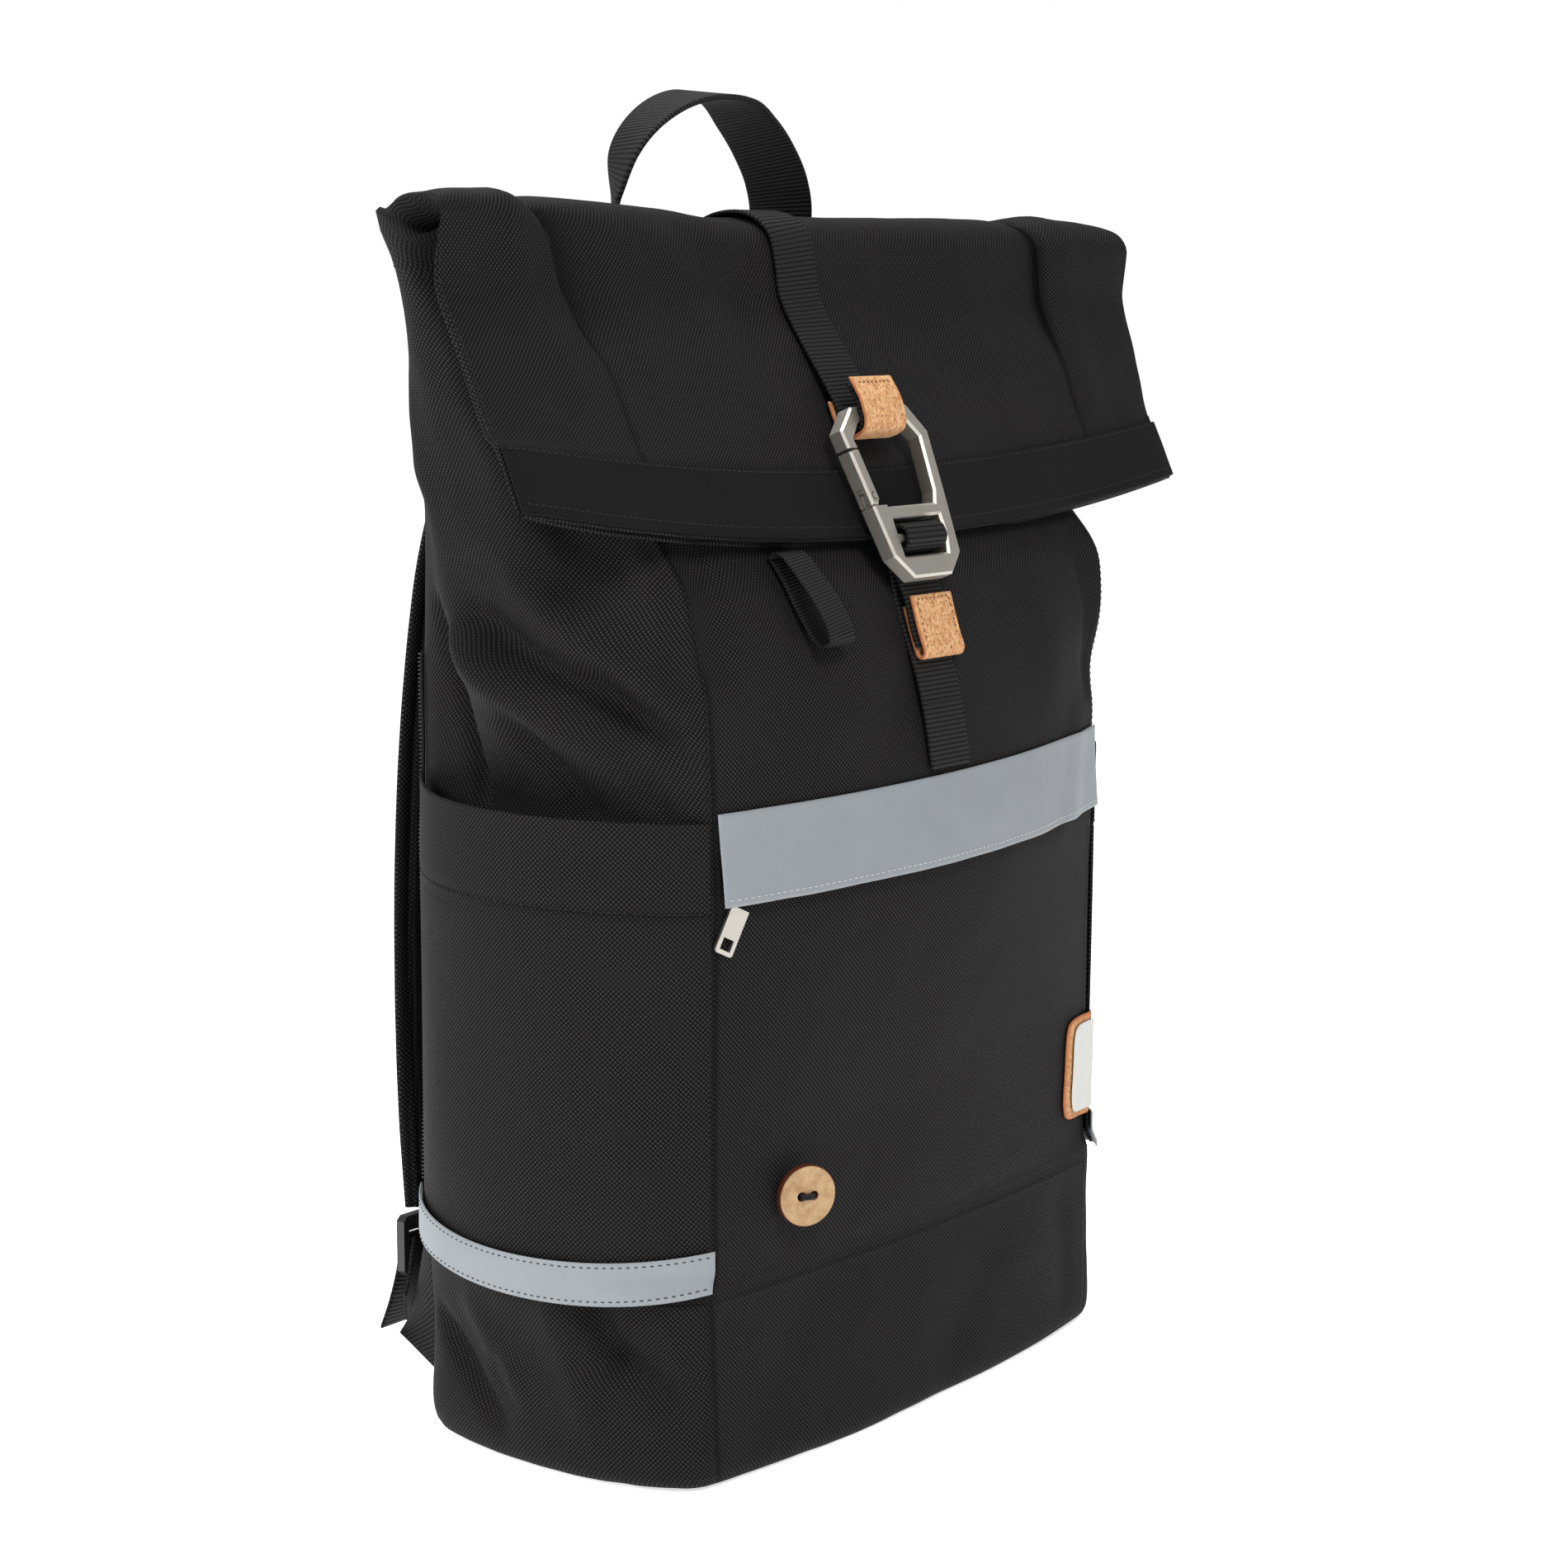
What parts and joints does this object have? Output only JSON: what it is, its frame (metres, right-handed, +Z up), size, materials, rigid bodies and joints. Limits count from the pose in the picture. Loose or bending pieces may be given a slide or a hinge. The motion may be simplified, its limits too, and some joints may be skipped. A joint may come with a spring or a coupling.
{
  "type": "roll-top cycling backpack",
  "caption": "Black cloth roll-top backpack with a snap hook closure, side pockets, reflective strips, cork tabs, a carrying handle and padded shoulder straps.",
  "frame": {"origin": "middle of the flat base, on the floor it stands on", "axes": "+Z up to the handle, -Y the front with the reflective flap, +Y the wearer's back, X across the bag"},
  "size_m": [0.418, 0.2101, 0.5104],
  "materials": {
    "oxford_black": "matte coarse plain weave",
    "tape_black": "matte fine-ribbed tape",
    "webbing_black": "ribbed webbing",
    "reflective_grey": "satin reflective film on cloth",
    "cork": "cork leather, matte with specks",
    "satin_nickel": "satin nickel",
    "coconut_shell": "polished coconut shell",
    "label_white": "matte woven label, bare",
    "plastic_black": "moulded, slightly glossy",
    "thread_dark": "twisted thread"
  },
  "bodies": {
    "bag": {"body_shell": "oxford_black", "side_pocket_left": "oxford_black", "side_pocket_right": "oxford_black", "shoulder_strap_left": "oxford_black", "shoulder_strap_right": "oxford_black", "anchor_tab_left": "oxford_black", "anchor_tab_right": "oxford_black", "hem_band": "tape_black", "back_zipper": "tape_black", "handle": "webbing_black", "flap_strap": "webbing_black", "front_webbing": "webbing_black", "helmet_loop": "webbing_black", "strap_webbing_left": "webbing_black", "strap_webbing_right": "webbing_black", "front_strip": "reflective_grey", "side_strip_left": "reflective_grey", "side_strip_right": "reflective_grey", "upper_cork_tab": "cork", "lower_cork_tab": "cork", "label_patch": "cork", "carabiner_frame": "satin_nickel", "zip_pull": "satin_nickel", "zip_slider": "satin_nickel", "button": "coconut_shell", "button_thread": "thread_dark", "label_inset": "label_white", "ladder_lock_left": "plastic_black", "ladder_lock_right": "plastic_black"},
    "gate": {"carabiner_gate": "satin_nickel"}
  },
  "joints": [
    {"name": "gate_hinge", "type": "hinge", "parent": "bag", "child": "gate", "pos_m": [-0.02727, -0.06332, 0.35397], "axis": [0, 0.9232, -0.3843], "range_deg": [0, 20], "stiffness_Nm_per_rad": 0.02, "springref_deg": -11.46}
  ]
}
